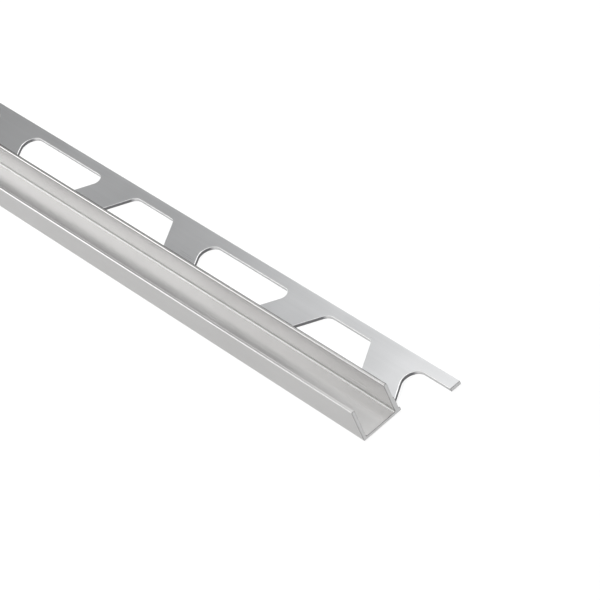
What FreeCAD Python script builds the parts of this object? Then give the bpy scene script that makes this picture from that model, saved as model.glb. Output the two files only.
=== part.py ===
import FreeCAD, Part
import math
import os

# A tile edge trim with a square channel: one length of extruded aluminium.
# X runs along the length, towards the end where the channel is cut back.
# Y runs across, from the face of the trim to the tip of the anchoring leg.
# Z is up, with the underside at zero and the origin in the middle of the box.

# Length of stock, in millimetres
stock_length = 1000.0
leg_overhang = 8.5

# Section of the channel
channel_width = 15.0
channel_height = 12.5
floor_thickness = 1.0
front_wall = 1.2
rear_wall = 1.2
foot_step = 0.4
foot_height = 6.0
lip_radius = 0.4
edge_radius = 0.2
inner_radius = 0.5
root_radius = 0.25

# Section of the anchoring leg
leg_width = 18.5
leg_thickness = 1.3

# Perforations of the leg, wide and narrow ones by turns
edge_strip = 4.0
root_strip = 0.5
wide_hole_length = 50.0
narrow_hole_length = 22.0
side_angle = 35.0
hole_step = 54.0
first_hole_centre = 12.0
near_hole_radius = 2.5
far_hole_radius = 4.5
root_hole_radius = 2.0

# How far a cutter runs past the metal
cut_margin = 1.0

# Places that follow from the sizes above
overall_width = channel_width + leg_width
leg_end = stock_length / 2
far_end = -stock_length / 2
channel_end = leg_end - leg_overhang
face = -overall_width / 2
wall = face + channel_width
tip = wall + leg_width
hole_root = wall + root_strip
hole_tip = tip - edge_strip
side_lean = (hole_tip - hole_root) * math.tan(math.radians(side_angle))


def rounded_outline(corners):
    """Close an outline of (point, radius) corners, each with an arc of its radius."""
    starts, ends, middles = [], [], []
    count = len(corners)
    for index, (corner, radius) in enumerate(corners):
        before = (corners[index - 1][0] - corner).normalize()
        after = (corners[(index + 1) % count][0] - corner).normalize()
        half_turn = before.getAngle(after) / 2
        reach = radius / math.tan(half_turn)
        bisector = (before + after).normalize()
        starts.append(corner + before * reach)
        ends.append(corner + after * reach)
        middles.append(corner + bisector * (radius / math.sin(half_turn) - radius))
    edges = []
    for index, (corner, radius) in enumerate(corners):
        if radius > 0:
            edges.append(Part.Arc(starts[index], middles[index], ends[index]).toShape())
        edges.append(Part.LineSegment(ends[index], starts[(index + 1) % count]).toShape())
    return Part.Wire(edges)


def section_corner(across, up, radius=0.0):
    """One corner of the section, in the plane of the far end."""
    return FreeCAD.Vector(far_end, across, up), radius


def extrusion():
    """The whole section drawn through the full length: channel, thicker foot and flat leg."""
    inner_front = face + front_wall
    outer_rear = wall - foot_step
    inner_rear = outer_rear - rear_wall
    outline = rounded_outline([
        section_corner(face, 0, edge_radius),
        section_corner(tip, 0, edge_radius),
        section_corner(tip, leg_thickness, edge_radius),
        section_corner(wall, leg_thickness, root_radius),
        section_corner(wall, foot_height, edge_radius),
        section_corner(outer_rear, foot_height),
        section_corner(outer_rear, channel_height, lip_radius),
        section_corner(inner_rear, channel_height, lip_radius),
        section_corner(inner_rear, floor_thickness, inner_radius),
        section_corner(inner_front, floor_thickness, inner_radius),
        section_corner(inner_front, channel_height, lip_radius),
        section_corner(face, channel_height, lip_radius),
    ])
    return Part.Face(outline).extrude(FreeCAD.Vector(stock_length, 0, 0))


def perforation(centre, outer_length, root_length):
    """One rounded trapezoid, a cutter that runs past both faces of the leg."""
    outline = rounded_outline([
        (FreeCAD.Vector(centre - root_length / 2, hole_root, 0), root_hole_radius),
        (FreeCAD.Vector(centre + root_length / 2, hole_root, 0), root_hole_radius),
        (FreeCAD.Vector(centre + outer_length / 2, hole_tip, 0), near_hole_radius),
        (FreeCAD.Vector(centre - outer_length / 2, hole_tip, 0), far_hole_radius),
    ])
    outline.translate(FreeCAD.Vector(0, 0, -cut_margin))
    return Part.Face(outline).extrude(FreeCAD.Vector(0, 0, leg_thickness + 2 * cut_margin))


def perforations():
    """The row of cutters, from the near end to the far one."""
    cutters = []
    centre = channel_end + first_hole_centre
    wide = True
    while centre + wide_hole_length / 2 > far_end:
        if wide:
            cutters.append(perforation(centre, wide_hole_length, wide_hole_length - 2 * side_lean))
        else:
            cutters.append(perforation(centre, narrow_hole_length, narrow_hole_length + 2 * side_lean))
        centre -= hole_step
        wide = not wide
    return cutters


def end_cut():
    """The cutter that takes the channel back from the leg's outer strip at the near end."""
    length = leg_overhang + cut_margin
    width = hole_tip - face + cut_margin
    height = channel_height + 2 * cut_margin
    corner = FreeCAD.Vector(channel_end, face - cut_margin, -cut_margin)
    return Part.makeBox(length, width, height, corner)


def edge_profile():
    """The whole trim, extruded, punched and cut to length in one piece of metal."""
    return extrusion().cut(perforations() + [end_cut()]).removeSplitter()


os.makedirs("parts", exist_ok=True)
edge_profile().exportStep("parts/edge_profile.step")
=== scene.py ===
import bpy
import bmesh
import math
from mathutils import Matrix, Vector


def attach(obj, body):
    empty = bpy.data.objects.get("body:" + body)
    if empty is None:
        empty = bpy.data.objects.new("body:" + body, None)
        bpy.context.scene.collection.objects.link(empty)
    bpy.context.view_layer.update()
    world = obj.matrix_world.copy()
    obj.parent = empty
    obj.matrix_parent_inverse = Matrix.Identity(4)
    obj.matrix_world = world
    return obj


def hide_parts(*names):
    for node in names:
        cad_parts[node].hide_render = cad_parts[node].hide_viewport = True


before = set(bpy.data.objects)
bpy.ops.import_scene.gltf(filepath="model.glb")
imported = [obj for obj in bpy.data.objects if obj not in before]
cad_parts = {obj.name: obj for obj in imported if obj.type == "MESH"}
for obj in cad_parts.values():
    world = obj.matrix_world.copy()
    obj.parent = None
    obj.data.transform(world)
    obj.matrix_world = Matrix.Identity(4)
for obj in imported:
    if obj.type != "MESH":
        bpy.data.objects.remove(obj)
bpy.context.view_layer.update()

# A tile edge trim of drawn aluminium: a square channel with a punched anchoring leg.
# X runs along the trim to its near end, Y across from the channel's face to the leg's tip, Z up.
# The sizes of the trim are in millimetres, as the CAD model has them, unless a comment says otherwise.
MM = 0.001
MICRON = 0.000001

# Places along the trim
NEAR_END = 500.0
FAR_END = -500.0
CHANNEL_END = 491.5

# Places across it
FACE = -16.75
INNER_FRONT = -15.55
INNER_REAR = -3.35
UNDER_SPLIT = -2.2
OUTER_REAR = -2.15
WALL = -1.75
HOLE_ROOT = -1.25
HOLE_TIP = 12.75
TIP = 16.75

# Heights
FLOOR_TOP = 1.0
LEG_TOP = 1.3
FOOT_TOP = 6.0
HEIGHT = 12.5

# Arcs of the section and of the holes: the radius, and the number of segments
SHARP = (0, 0)
OUTER_ARC = (0.2, 6)
FOOT_ARC = (0.2, 5)
ROOT_ARC = (0.25, 6)
LIP_ARC = (0.4, 7)
INNER_ARC = (0.5, 7)
HOLE_ROOT_ARC = (2.0, 10)
HOLE_NEAR_ARC = (2.5, 14)
HOLE_FAR_ARC = (4.5, 16)

# The holes: wide ones and narrow ones by turns, each a step from the last, with sides that lean.
# The first one is wide and cut through by the near end, and the whole ones follow.
WIDE = 50.0
NARROW = 22.0
LEAN = 9.80
FIRST_CENTRE = 503.5
STEP = 54.0
WHOLE_HOLES = 18

# How far beyond the middle of a wide or a narrow hole, towards the far end, a straight cut meets no hole
PAST_WIDE = 29.1
PAST_NARROW = 24.9

# Widths of the rounded edges: a hole's upper edge, its lower edge, and the edges of the sawn ends
ROLL = 0.16
BURR = 0.05
CUT_EDGE = 0.12
EDGE_SEGMENTS = 4

# Faces that turn by more than this at an edge that isn't rounded meet in a crease
CREASE_ANGLE = math.radians(40)
NORMAL_WEIGHT = 80

# The X part that the normal of a sawn end's rounded face has at least
CUT_LEAN = 0.1

# Places of the materials on the mesh
DRAWN, PUNCHED, SAWN, LEG, ROLLED = 0, 1, 2, 3, 4


def rounded(corners):
    """Points of an outline of (a, b, arc) corners, and each corner's first and last point."""
    points, first, last = [], [], []
    count = len(corners)
    for i, (a, b, (radius, segments)) in enumerate(corners):
        corner = Vector((a, b))
        first.append(len(points))
        if radius == 0:
            points.append(corner)
        else:
            before = (Vector(corners[i - 1][:2]) - corner).normalized()
            after = (Vector(corners[(i + 1) % count][:2]) - corner).normalized()
            half = before.angle(after) / 2
            centre = corner + (before + after).normalized() * (radius / math.sin(half))
            start = corner + before * (radius / math.tan(half)) - centre
            end = corner + after * (radius / math.tan(half)) - centre
            turn = start.angle_signed(end)
            for k in range(segments + 1):
                spin = Matrix.Rotation(-turn * k / segments, 2)
                points.append(centre + spin @ start)
        last.append(len(points) - 1)
    return points, first, last


SECTION, SECTION_FIRST, SECTION_LAST = rounded([
    (FACE, 0, OUTER_ARC),
    (UNDER_SPLIT, 0, SHARP),
    (TIP, 0, OUTER_ARC),
    (TIP, LEG_TOP, OUTER_ARC),
    (WALL, LEG_TOP, ROOT_ARC),
    (WALL, FOOT_TOP, FOOT_ARC),
    (OUTER_REAR, FOOT_TOP, SHARP),
    (OUTER_REAR, HEIGHT, LIP_ARC),
    (INNER_REAR, HEIGHT, LIP_ARC),
    (INNER_REAR, FLOOR_TOP, INNER_ARC),
    (INNER_FRONT, FLOOR_TOP, INNER_ARC),
    (INNER_FRONT, HEIGHT, LIP_ARC),
    (FACE, HEIGHT, LIP_ARC),
])

# Runs of the section's points: from the leg's root round the channel to the underside, and round the tip
CHANNEL_SIDES = (SECTION_FIRST[4], len(SECTION) + SECTION_LAST[1])
TIP_SIDES = (SECTION_FIRST[2], SECTION_LAST[3])

# The leg's flat sheets, above and below: the height, and the place across where each one starts
SHEETS = ((LEG_TOP, SECTION[SECTION_FIRST[4]].x), (0, SECTION[SECTION_LAST[1]].x))
SHEET_TIP = SECTION[SECTION_LAST[3]].x


def section_at(x, index):
    """One point of the section, which is counted round and round, at a place along the trim."""
    point = SECTION[index % len(SECTION)]
    return x, point.x, point.y


def hole_outline(centre, wide):
    """One hole seen from above, counterclockwise from its root side."""
    half = (WIDE if wide else NARROW) / 2
    root_half = half - LEAN if wide else half + LEAN
    return rounded([
        (centre - root_half, HOLE_ROOT, HOLE_ROOT_ARC),
        (centre + root_half, HOLE_ROOT, HOLE_ROOT_ARC),
        (centre + half, HOLE_TIP, HOLE_NEAR_ARC),
        (centre - half, HOLE_TIP, HOLE_FAR_ARC),
    ])


class Stock:
    """A mesh in the making, with its points in millimetres and merged where they meet."""

    def __init__(self):
        self.bm = bmesh.new()
        self.seen = {}

    def vert(self, x, y, z):
        key = (round(x, 4), round(y, 4), round(z, 4))
        if key not in self.seen:
            self.seen[key] = self.bm.verts.new((x * MM, y * MM, z * MM))
        return self.seen[key]

    def face(self, points, material):
        """One face. A drawn one that is all beyond the rear wall has the leg's finish."""
        face = self.bm.faces.new([self.vert(*point) for point in points])
        if material == DRAWN and min(point[1] for point in points) > WALL:
            material = LEG
        face.material_index = material
        face.smooth = True


def sides(stock, low, high, start, end):
    """The drawn faces from one point of the section round to another, between two places along the trim."""
    for i in range(start, end):
        stock.face([section_at(low, i), section_at(low, i + 1),
                    section_at(high, i + 1), section_at(high, i)], DRAWN)


def sheet(stock, outline, height):
    """A flat face of the leg, which looks up on top and down underneath."""
    points = [(x, y, height) for x, y in outline]
    stock.face(points if height > 0 else points[::-1], DRAWN)


def holed_sheet(stock, height, low, high, root, loop, wide):
    """The flat sheet round one hole, as two faces that meet at two of the hole's corners."""
    places = ((low, root), (high, root), (high, SHEET_TIP), (low, SHEET_TIP))
    corners = [Vector(place) for place in places]
    p, q = (2, 3) if wide else (0, 1)

    def nearest(corner):
        return min(range(len(loop)), key=lambda k: (loop[k] - corner).length)

    def clockwise(start, end):
        run = [start]
        while run[-1] != end:
            run.append((run[-1] - 1) % len(loop))
        return [loop[k] for k in run]

    at_p, at_q = nearest(corners[p]), nearest(corners[q])
    short = [corners[p], corners[q]] + clockwise(at_q, at_p)
    around = [corners[(q + k) % 4] for k in range(4)] + clockwise(at_p, at_q)
    sheet(stock, short, height)
    sheet(stock, around, height)


def walls(stock, chain):
    """The punched faces down a counterclockwise line of points."""
    for a, b in zip(chain, chain[1:]):
        stock.face([(a.x, a.y, LEG_TOP), (b.x, b.y, LEG_TOP), (b.x, b.y, 0), (a.x, a.y, 0)], PUNCHED)


def whole_places():
    """Places between the holes where the section is whole, from the near end to the far one."""
    places = []
    for number in range(WHOLE_HOLES):
        past = PAST_WIDE if number % 2 == 0 else PAST_NARROW
        places.append(FIRST_CENTRE - STEP * number - past)
    return places + [FAR_END]


def punched_lengths(stock, places):
    """The trim between each two of the places, with one whole hole in its leg."""
    for number in range(1, WHOLE_HOLES + 1):
        wide = number % 2 == 0
        high, low = places[number - 1], places[number]
        loop, _, _ = hole_outline(FIRST_CENTRE - STEP * number, wide)
        sides(stock, low, high, *CHANNEL_SIDES)
        sides(stock, low, high, *TIP_SIDES)
        for height, root in SHEETS:
            holed_sheet(stock, height, low, high, root, loop, wide)
        walls(stock, loop + loop[:1])


def near_length(stock, start):
    """The trim's near end, cut through a wide hole, where the leg's outer strip runs past the channel."""
    sides(stock, start, CHANNEL_END, *CHANNEL_SIDES)
    sides(stock, start, NEAR_END, *TIP_SIDES)
    loop, first, last = hole_outline(FIRST_CENTRE, True)
    notch = [Vector((NEAR_END, HOLE_TIP))] + loop[first[3]:] + loop[:last[0] + 1]
    notch.append(Vector((CHANNEL_END, HOLE_ROOT)))
    walls(stock, notch)
    for height, root in SHEETS:
        outline = [(start, root), (CHANNEL_END, root)] + notch[::-1]
        sheet(stock, outline + [(NEAR_END, SHEET_TIP), (start, SHEET_TIP)], height)


def sawn_ends(stock):
    """The flat ends: the whole section at the far one, the channel and the leg's strip at the near one."""
    whole = [section_at(FAR_END, i) for i in range(len(SECTION))]
    stock.face(whole[::-1], SAWN)
    start, end = CHANNEL_SIDES
    channel = [section_at(CHANNEL_END, i) for i in range(start, end + 1)]
    stock.face(channel + [(CHANNEL_END, HOLE_ROOT, 0), (CHANNEL_END, HOLE_ROOT, LEG_TOP)], SAWN)
    start, end = TIP_SIDES
    strip = [section_at(NEAR_END, i) for i in range(start, end + 1)]
    stock.face(strip + [(NEAR_END, HOLE_TIP, LEG_TOP), (NEAR_END, HOLE_TIP, 0)], SAWN)


def sharp_trim():
    """The whole trim, before its edges are rounded."""
    stock = Stock()
    places = whole_places()
    punched_lengths(stock, places)
    near_length(stock, places[0])
    sawn_ends(stock)
    return stock.bm


def edge_width(edge):
    """How far an edge is rounded. The punch rolls a hole's upper edge and leaves its lower one sharper."""
    kinds = {DRAWN if face.material_index == LEG else face.material_index for face in edge.link_faces}
    if len(kinds) < 2:
        return 0.0
    if SAWN in kinds:
        return CUT_EDGE
    return ROLL if edge.verts[0].co.z > LEG_TOP * MM / 2 else BURR


def mark_edges(bm):
    """Weigh the edges that are rounded, and crease the other steep ones."""
    weight = bm.edges.layers.float.new("bevel_weight_edge")
    for edge in bm.edges:
        edge[weight] = edge_width(edge) / ROLL
        steep = edge.calc_face_angle(0.0) > CREASE_ANGLE
        edge.smooth = edge[weight] > 0 or not steep


def with_rounded_edges(raw):
    """The mesh of an object with its weighed edges rounded. The new faces count as rolled ones."""
    bevel = raw.modifiers.new("edges", "BEVEL")
    bevel.limit_method = "WEIGHT"
    bevel.width = ROLL * MM
    bevel.segments = EDGE_SEGMENTS
    bevel.use_clamp_overlap = False
    bevel.material = ROLLED
    bevel.face_strength_mode = "FSTR_ALL"
    weighted = raw.modifiers.new("normals", "WEIGHTED_NORMAL")
    weighted.keep_sharp = True
    weighted.weight = NORMAL_WEIGHT
    depsgraph = bpy.context.evaluated_depsgraph_get()
    return bpy.data.meshes.new_from_object(raw.evaluated_get(depsgraph), depsgraph=depsgraph)


def at_cut(face):
    """Whether a narrow face belongs to a sawn edge."""
    x = face.center.x / MM
    near_cut = min(abs(x - place) for place in (NEAR_END, FAR_END, CHANNEL_END)) < CUT_EDGE
    return near_cut and abs(face.normal.x) > CUT_LEAN


def add_object(name, data):
    """A new object in the scene."""
    obj = bpy.data.objects.new(name, data)
    bpy.context.scene.collection.objects.link(obj)
    return obj


def build_trim(materials):
    """The trim as one mesh, with each face's material by how that face was made."""
    bm = sharp_trim()
    mark_edges(bm)
    mesh = bpy.data.meshes.new("trim_raw")
    bm.to_mesh(mesh)
    bm.free()
    for material in materials:
        mesh.materials.append(material)
    raw = add_object("trim_raw", mesh)
    final = with_rounded_edges(raw)
    final.name = "trim"
    bpy.data.objects.remove(raw)
    for face in final.polygons:
        if face.material_index == ROLLED and at_cut(face):
            face.material_index = SAWN
        elif face.material_index == ROLLED and face.center.y < WALL * MM:
            face.material_index = DRAWN
    return add_object("trim", final)


def grey(level):
    """A neutral colour."""
    return (level, level, level, 1)


# Noise patterns: the stretch along each axis, the scale per metre, the detail and the roughness
DIE_LINES = ((0.006, 1, 1), 2600, 3, 0.6)
DIE_BANDS = ((0.02, 1, 1), 420, 2, 0.5)
PATCHES = ((1, 1, 1), 28, 3, 0.5)
GRAIN = ((1, 1, 1), 9000, 2, 0.5)
RAGGED = ((1, 1, 0.3), 1800, 3, 0.6)
PUNCH_STREAKS = ((1, 1, 0.05), 5200, 3, 0.6)
ROLL_STREAKS = ((1, 1, 0.3), 3000, 3, 0.6)
SAW_MARKS = ((1, 1, 0.08), 4200, 3, 0.6)
SAW_PATCHES = ((1, 1, 1), 600, 2, 0.5)
FLOOR_MOTTLE = ((1, 1, 1), 6, 2, 0.5)
BACKDROP_MOTTLE = ((1, 1, 1), 0.05, 2, 0.5)

# The stretch of a pattern's values that a finish is spread over
NOISE_RANGE = (0.3, 0.7)
LINES_RANGE = (0.25, 0.75)

# Heights of the relief that is too fine for the mesh
DIE_RELIEF = 1.8 * MICRON
GRAIN_RELIEF = 0.5 * MICRON
DRAWN_STRENGTH = 0.4
PUNCH_RELIEF = 6 * MICRON
ROLL_RELIEF = 3 * MICRON
SAW_RELIEF = 6 * MICRON

# How much darker the metal is at a glancing angle
EDGE_TINT = grey(0.6)

# The two finishes of the extrusion: the least and most roughness that the die lines give, how far the
# sheen is spread across them, and the darkest and lightest colour
CHANNEL_FINISH = {
    "smooth": 0.22, "coarse": 0.26, "spread": 0.3,
    "dark": (0.600, 0.595, 0.590, 1), "light": (0.660, 0.655, 0.650, 1),
}
LEG_FINISH = {
    "smooth": 0.28, "coarse": 0.32, "spread": 0.0,
    "dark": (0.565, 0.570, 0.577, 1), "light": (0.612, 0.617, 0.624, 1),
}

# What each pattern adds to the extrusion's shade, and the patches to its roughness
LINES_SHARE = 0.35
BANDS_SHARE = 0.35
PATCHES_SHARE = 0.3
PATCH_ROUGHNESS = (-0.02, 0.03)

# A painted highlight along the channel's rear corner, where the fillet would catch light: its middle, how
# far it reaches with full strength and at all, its colour, and the roughness that it adds
CORNER_INSET = 0.15
PAINTED_HIGHLIGHT_LINE = (0.0, (INNER_REAR - CORNER_INSET) * MM, (FLOOR_TOP + CORNER_INSET) * MM)
PAINTED_HIGHLIGHT_REACH = (0.384 * MM, 0.48 * MM)
PAINTED_HIGHLIGHT_COLOUR = (0.95, 0.95, 0.94, 1)
PAINTED_HIGHLIGHT_ROUGHNESS = 0.25

# The rear lip's outer edge, where a dark reflection is painted into the colour, in the same terms
PAINTED_DARK_REFLECTION_LINE = (0.0, OUTER_REAR * MM, HEIGHT * MM)
PAINTED_DARK_REFLECTION_REACH = (0.30 * MM, 0.40 * MM)
PAINTED_DARK_REFLECTION_COLOUR = grey(0.05)

# The wall of a hole: a burnished band above and a torn band below, with a ragged limit between them,
# and painted shade on the slanted walls, by how far they face the near end
TORN_LIMIT = (0.55 * MM, 0.68 * MM)
TORN_RAGGED = 0.25 * MM
BURNISHED_COLOUR = grey(0.62)
TORN_COLOUR = grey(0.55)
TORN_ROUGHNESS = 0.16
PUNCH_ROUGHNESS = (0.30, 0.42)
PAINTED_SLANT_SHADE_FACING = (0.55, 0.82)
PAINTED_SLANT_SHADE_COLOUR = (0.16, 0.16, 0.165, 1)

# The rolled edge of a hole, its colours painted light as a highlight
PAINTED_HIGHLIGHT_ROLL_COLOURS = (grey(0.88), grey(0.96))
ROLLED_ROUGHNESS = (0.30, 0.40)

# The sawn ends, and the painted shade that outlines them, by how far they face along the trim
SAWN_COLOURS = (grey(0.48), grey(0.58))
SAWN_ROUGHNESS = (0.36, 0.46)
SAW_PATCH_ROUGHNESS = (-0.03, 0.04)
PAINTED_OUTLINE_SHADE_FACING = (0.94, 0.99)
PAINTED_OUTLINE_SHADE_COLOUR = grey(0.15)

# The floor and the backdrop
FLOOR_COLOURS = (grey(0.90), grey(0.93))
FLOOR_ROUGHNESS = (0.85, 0.95)
BACKDROP_COLOURS = (grey(0.97), grey(1.0))
BLACK = grey(0.0)


class Nodes:
    """Short calls for a material's nodes. A value is a plain one or another node's output."""

    def __init__(self, name):
        self.material = bpy.data.materials.new(name)
        self.material.use_nodes = True
        self.tree = self.material.node_tree
        self.shader = self.tree.nodes["Principled BSDF"]

    def add(self, kind, **values):
        node = self.tree.nodes.new(kind)
        for name, value in values.items():
            setattr(node, name, value)
        return node

    def put(self, value, socket):
        if isinstance(value, bpy.types.NodeSocket):
            self.tree.links.new(value, socket)
        else:
            socket.default_value = value

    def surface(self, name, value):
        """Set or link one of the shader's own sockets."""
        self.put(value, self.shader.inputs[name])

    def along(self, stretch):
        """Object coordinates, stretched."""
        node = self.add("ShaderNodeMapping")
        self.put(self.add("ShaderNodeTexCoord").outputs["Object"], node.inputs["Vector"])
        self.put(stretch, node.inputs["Scale"])
        return node.outputs["Vector"]

    def noise(self, pattern):
        stretch, scale, detail, rough = pattern
        node = self.add("ShaderNodeTexNoise")
        self.put(self.along(stretch), node.inputs["Vector"])
        self.put(scale, node.inputs["Scale"])
        self.put(detail, node.inputs["Detail"])
        self.put(rough, node.inputs["Roughness"])
        return node.outputs["Fac"]

    def ramp(self, value, span, low, high):
        """A value that runs from low to high over a span, and stays there beyond it."""
        node = self.add("ShaderNodeMapRange")
        self.put(value, node.inputs["Value"])
        self.put(span[0], node.inputs["From Min"])
        self.put(span[1], node.inputs["From Max"])
        self.put(low, node.inputs["To Min"])
        self.put(high, node.inputs["To Max"])
        return node.outputs["Result"]

    def vary(self, pattern, limits):
        """A noise pattern, spread between two limits."""
        return self.ramp(pattern, NOISE_RANGE, *limits)

    def plus(self, a, b):
        return self.calculate("ADD", a, b)

    def times(self, a, b):
        return self.calculate("MULTIPLY", a, b)

    def calculate(self, operation, *values):
        node = self.add("ShaderNodeMath", operation=operation)
        for socket, value in zip(node.inputs, values):
            self.put(value, socket)
        return node.outputs["Value"]

    def blend(self, factor, under, over):
        """One colour where the factor is 0, and another where it is 1."""
        node = self.add("ShaderNodeMix", data_type="RGBA")
        self.put(factor, node.inputs["Factor"])
        self.put(under, node.inputs["A"])
        self.put(over, node.inputs["B"])
        return node.outputs["Result"]

    def close_to(self, line, reach):
        """A mask of what is close to a line along the trim."""
        node = self.add("ShaderNodeVectorMath", operation="DISTANCE")
        self.put(self.along((0, 1, 1)), node.inputs[0])
        self.put(line, node.inputs[1])
        return self.ramp(node.outputs["Value"], reach, 1, 0)

    def facing_x(self):
        """How far the surface faces along +X, from -1 to 1."""
        node = self.add("ShaderNodeSeparateXYZ")
        self.put(self.add("ShaderNodeTexCoord").outputs["Normal"], node.inputs["Vector"])
        return node.outputs["X"]

    def height(self):
        """The height above the trim's underside."""
        node = self.add("ShaderNodeSeparateXYZ")
        self.put(self.add("ShaderNodeTexCoord").outputs["Object"], node.inputs["Vector"])
        return node.outputs["Z"]

    def bump(self, pattern, distance, strength=1.0, under=None):
        """Relief by a pattern, over other relief where there is any."""
        node = self.add("ShaderNodeBump")
        self.put(pattern, node.inputs["Height"])
        self.put(distance, node.inputs["Distance"])
        self.put(strength, node.inputs["Strength"])
        if under is not None:
            self.put(under, node.inputs["Normal"])
        return node.outputs["Normal"]


def drawn_aluminium(name, smooth, coarse, spread, dark, light):
    """Anodised extrusion: fine die lines along the length, soft patches and a satin sheen."""
    n = Nodes(name)
    lines, bands, patches = n.noise(DIE_LINES), n.noise(DIE_BANDS), n.noise(PATCHES)
    long_shade = n.plus(n.times(lines, LINES_SHARE), n.times(bands, BANDS_SHARE))
    shade = n.plus(long_shade, n.times(patches, PATCHES_SHARE))
    metal = n.blend(n.vary(shade, (0, 1)), dark, light)
    # A painted highlight along the channel's rear corner
    bright = n.close_to(PAINTED_HIGHLIGHT_LINE, PAINTED_HIGHLIGHT_REACH)
    marked = n.blend(bright, metal, PAINTED_HIGHLIGHT_COLOUR)
    # A painted dark reflection along the rear lip's outer edge
    n.surface("Base Color", n.blend(n.close_to(PAINTED_DARK_REFLECTION_LINE, PAINTED_DARK_REFLECTION_REACH), marked, PAINTED_DARK_REFLECTION_COLOUR))
    rough = n.plus(n.ramp(lines, LINES_RANGE, smooth, coarse), n.vary(patches, PATCH_ROUGHNESS))
    n.surface("Roughness", n.plus(rough, n.times(bright, PAINTED_HIGHLIGHT_ROUGHNESS)))
    die = n.bump(lines, DIE_RELIEF, DRAWN_STRENGTH)
    n.surface("Normal", n.bump(n.noise(GRAIN), GRAIN_RELIEF, DRAWN_STRENGTH, die))
    across = n.add("ShaderNodeTangent", direction_type="RADIAL", axis="X")
    n.surface("Tangent", across.outputs["Tangent"])
    n.surface("Anisotropic", spread)
    n.surface("Specular Tint", EDGE_TINT)
    n.surface("Metallic", 1.0)
    return n.material


def punched_aluminium():
    """The sheared wall of a hole: a smooth burnished band above, a torn grey band below, and painted shade
    on the walls that face the near end.
    """
    n = Nodes("aluminium_punched")
    limit = n.plus(n.height(), n.times(n.noise(RAGGED), TORN_RAGGED))
    torn = n.ramp(limit, TORN_LIMIT, 1, 0)
    streaks = n.noise(PUNCH_STREAKS)
    bands = n.blend(torn, BURNISHED_COLOUR, TORN_COLOUR)
    # Painted shade on the walls that face the near end
    n.surface("Base Color", n.blend(n.ramp(n.facing_x(), PAINTED_SLANT_SHADE_FACING, 0, 1), bands, PAINTED_SLANT_SHADE_COLOUR))
    n.surface("Roughness", n.plus(n.times(torn, TORN_ROUGHNESS), n.vary(streaks, PUNCH_ROUGHNESS)))
    n.surface("Normal", n.bump(streaks, PUNCH_RELIEF))
    n.surface("Specular Tint", EDGE_TINT)
    n.surface("Metallic", 1.0)
    return n.material


def rolled_aluminium():
    """The edge of a hole, rolled by the punch and painted much lighter than the leg as a highlight."""
    n = Nodes("aluminium_rolled_painted_highlight")
    streaks = n.noise(ROLL_STREAKS)
    # The roll's colours are painted light as a highlight
    n.surface("Base Color", n.blend(n.vary(streaks, (0, 1)), *PAINTED_HIGHLIGHT_ROLL_COLOURS))
    n.surface("Roughness", n.vary(streaks, ROLLED_ROUGHNESS))
    n.surface("Normal", n.bump(streaks, ROLL_RELIEF))
    n.surface("Metallic", 1.0)
    return n.material


def sawn_aluminium():
    """The cut ends: faint parallel saw marks on bare metal, outlined by painted shade on their rounded
    edges.
    """
    n = Nodes("aluminium_sawn")
    marks = n.noise(SAW_MARKS)
    metal = n.blend(n.vary(marks, (0, 1)), *SAWN_COLOURS)
    # Painted shade along the rounded edges of the cut ends
    outline = n.ramp(n.calculate("ABSOLUTE", n.facing_x()), PAINTED_OUTLINE_SHADE_FACING, 1, 0)
    n.surface("Base Color", n.blend(outline, metal, PAINTED_OUTLINE_SHADE_COLOUR))
    patches = n.vary(n.noise(SAW_PATCHES), SAW_PATCH_ROUGHNESS)
    n.surface("Roughness", n.plus(n.vary(marks, SAWN_ROUGHNESS), patches))
    n.surface("Normal", n.bump(marks, SAW_RELIEF))
    n.surface("Metallic", 1.0)
    return n.material


def floor_material():
    """A pale matt floor, faintly mottled."""
    n = Nodes("studio_floor")
    mottle = n.noise(FLOOR_MOTTLE)
    n.surface("Base Color", n.blend(mottle, *FLOOR_COLOURS))
    n.surface("Roughness", n.vary(mottle, FLOOR_ROUGHNESS))
    n.surface("Specular IOR Level", 0.0)
    return n.material


def backdrop_material():
    """A pale wall, evenly lit."""
    n = Nodes("studio_backdrop")
    n.surface("Emission Color", n.blend(n.noise(BACKDROP_MOTTLE), *BACKDROP_COLOURS))
    n.surface("Emission Strength", 1.0)
    n.surface("Base Color", BLACK)
    n.surface("Specular IOR Level", 0.0)
    return n.material


# The camera, fitted to the photograph: its direction and roll in degrees, the point that it is placed
# from, its distance and offsets from there, its lens and sensor, and its clip distances in metres
AZIMUTH = 67.195
ELEVATION = 39.313
ROLL_ANGLE = -25.014
AIM = Vector((CHANNEL_END, WALL, 0.0))
DISTANCE = 1051.17
OFFSET_RIGHT = -30.575
OFFSET_UP = 33.744
LENS = 206.654
SENSOR = 36.0
CLIP_START = 0.01
CLIP_END = 200.0


def add_camera():
    """The camera, at the photograph's viewing angle."""
    a, e, r = math.radians(AZIMUTH), math.radians(ELEVATION), math.radians(ROLL_ANGLE)
    back = Vector((math.sin(a) * math.cos(e), -math.cos(a) * math.cos(e), math.sin(e)))
    flat_right = Vector((math.cos(a), math.sin(a), 0.0))
    flat_up = back.cross(flat_right)
    right = flat_right * math.cos(r) + flat_up * math.sin(r)
    up = flat_up * math.cos(r) - flat_right * math.sin(r)
    camera = add_object("camera", bpy.data.cameras.new("camera"))
    camera.data.lens = LENS
    camera.data.sensor_width = SENSOR
    camera.data.clip_start = CLIP_START
    camera.data.clip_end = CLIP_END
    turn = Matrix((right, up, back)).transposed().to_4x4()
    place = (AIM + right * OFFSET_RIGHT + up * OFFSET_UP + back * DISTANCE) * MM
    camera.matrix_world = Matrix.Translation(place) @ turn
    bpy.context.scene.camera = camera


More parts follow.
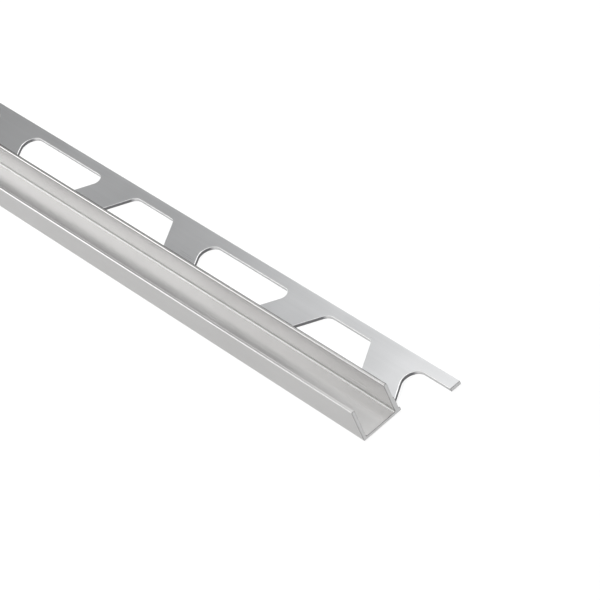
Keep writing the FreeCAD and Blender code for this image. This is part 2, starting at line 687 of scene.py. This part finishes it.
# The studio is in metres. Soft panels stand round the trim at one distance from its axis, each as wide
# as its spread in degrees. Under the angle about the axis from +Y are each panel's stretch of X and its
# radiance, which is what a mirror would show of it.
PANEL_DISTANCE = 0.75
PANEL_SPREAD = 25.0
PANELS = {
    15: ((-1.5, -0.7, 0.3), (-0.7, -0.1, 0.4), (-0.1, 0.6, 0.8)),
    40: ((-0.65, -0.4, 1.8), (-0.4, -0.2, 1.8), (-0.2, 0.05, 1.8), (0.05, 0.5, 1.8)),
    65: ((-0.65, -0.4, 0.09), (-0.2, 0.05, 1.3), (0.05, 0.5, 4.4)),
    90: ((-1.4, -0.95, 0.3), (-0.95, -0.65, 0.4), (-0.65, -0.4, 0.4), (-0.4, -0.2, 0.4),
         (-0.2, 0.05, 0.35), (0.05, 0.5, 0.5)),
    115: ((-1.6, -1.1, 0.07), (-1.1, -0.7, 2.66), (-0.7, -0.4, 2.7), (-0.4, -0.1, 1.95),
          (-0.1, 0.3, 0.14)),
    140: ((-1.6, -1.1, 0.2), (-1.1, -0.7, 2.8), (-0.7, -0.4, 2.24), (-0.4, -0.1, 0.39)),
    165: ((-1.5, -0.7, 0.21), (-0.7, -0.1, 1.6)),
}

# The dim surround
SURROUND = grey(0.33)

# The floor's own lights: a wide soft one from overhead, and a square one from the side
OVERHEAD_STRENGTH = 2.35
OVERHEAD_SPREAD = math.radians(40)
OVERHEAD_PLACE = (0, 0, 1)
SIDE_POWER = 1.0
SIDE_SIZE = 0.6
SIDE_PLACE = (-0.15, -0.25, 0.6)

# Half the floor's size, and the pale dome behind it
FLOOR_HALF = 40.0
DOME_RADIUS = 38.0
DOME_SEGMENTS = 64
DOME_RINGS = 32


def collection_of(name, obj):
    """A collection outside the scene, for lights to be linked to."""
    collection = bpy.data.collections.new(name)
    collection.objects.link(obj)
    return collection


def add_lamp(light, place, receivers):
    """A light that the camera doesn't see and that shines on a collection alone."""
    lamp = add_object(light.name, light)
    lamp.location = place
    lamp.visible_camera = False
    lamp.light_linking.receiver_collection = receivers
    return lamp


def add_panels(trim):
    """The trim's lights. A panel's power follows from its size, so that its radiance is as stated."""
    receivers = collection_of("lit_by_panels", trim)
    width = 2 * PANEL_DISTANCE * math.tan(math.radians(PANEL_SPREAD / 2))
    panels = [(angle, *row) for angle, rows in PANELS.items() for row in rows]
    for number, (angle, start, end, radiance) in enumerate(panels):
        turn, middle = math.radians(angle), (start + end) / 2
        place = Vector((middle, PANEL_DISTANCE * math.cos(turn), PANEL_DISTANCE * math.sin(turn)))
        light = bpy.data.lights.new(f"panel_{number}", "AREA")
        light.shape = "RECTANGLE"
        light.size, light.size_y = end - start, width
        light.energy = radiance * math.pi * light.size * light.size_y
        lamp = add_lamp(light, place, receivers)
        lamp.rotation_euler = (Vector((middle, 0, 0)) - place).to_track_quat("-Z", "Y").to_euler()


def add_surround():
    """The world's even light."""
    world = bpy.data.worlds.new("studio")
    world.use_nodes = True
    world.node_tree.nodes["Background"].inputs["Color"].default_value = SURROUND
    bpy.context.scene.world = world


def add_floor():
    """The pale floor under the trim."""
    mesh = bpy.data.meshes.new("floor")
    signs = ((-1, -1), (1, -1), (1, 1), (-1, 1))
    mesh.from_pydata([(x * FLOOR_HALF, y * FLOOR_HALF, 0) for x, y in signs], [], [(0, 1, 2, 3)])
    mesh.materials.append(floor_material())
    floor = add_object("floor", mesh)
    return floor


def add_backdrop():
    """A pale dome behind the floor that only the camera sees."""
    bm = bmesh.new()
    bmesh.ops.create_uvsphere(bm, u_segments=DOME_SEGMENTS, v_segments=DOME_RINGS, radius=DOME_RADIUS)
    mesh = bpy.data.meshes.new("backdrop")
    bm.to_mesh(mesh)
    bm.free()
    mesh.materials.append(backdrop_material())
    backdrop = add_object("backdrop", mesh)
    for kind in ("diffuse", "glossy", "transmission", "volume_scatter", "shadow"):
        setattr(backdrop, "visible_" + kind, False)


def add_floor_lights(floor):
    """The floor's own lights, which the trim doesn't shade, as the photograph shows no shadow."""
    receivers = collection_of("lit_by_overhead", floor)
    overhead = bpy.data.lights.new("overhead", "SUN")
    overhead.energy = OVERHEAD_STRENGTH
    overhead.angle = OVERHEAD_SPREAD
    side = bpy.data.lights.new("side", "AREA")
    side.shape = "SQUARE"
    side.size = SIDE_SIZE
    side.energy = SIDE_POWER
    for light, place in ((overhead, OVERHEAD_PLACE), (side, SIDE_PLACE)):
        lamp = add_lamp(light, place, receivers)
        lamp.visible_glossy = False
        lamp.light_linking.blocker_collection = receivers


trim = build_trim([
    drawn_aluminium("aluminium_brushed", **CHANNEL_FINISH),
    punched_aluminium(),
    sawn_aluminium(),
    drawn_aluminium("aluminium_mill", **LEG_FINISH),
    rolled_aluminium(),
])
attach(trim, "root")
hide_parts("edge_profile")

add_camera()
add_panels(trim)
add_surround()
floor = add_floor()
add_backdrop()
add_floor_lights(floor)
bpy.context.scene.view_settings.view_transform = "Standard"
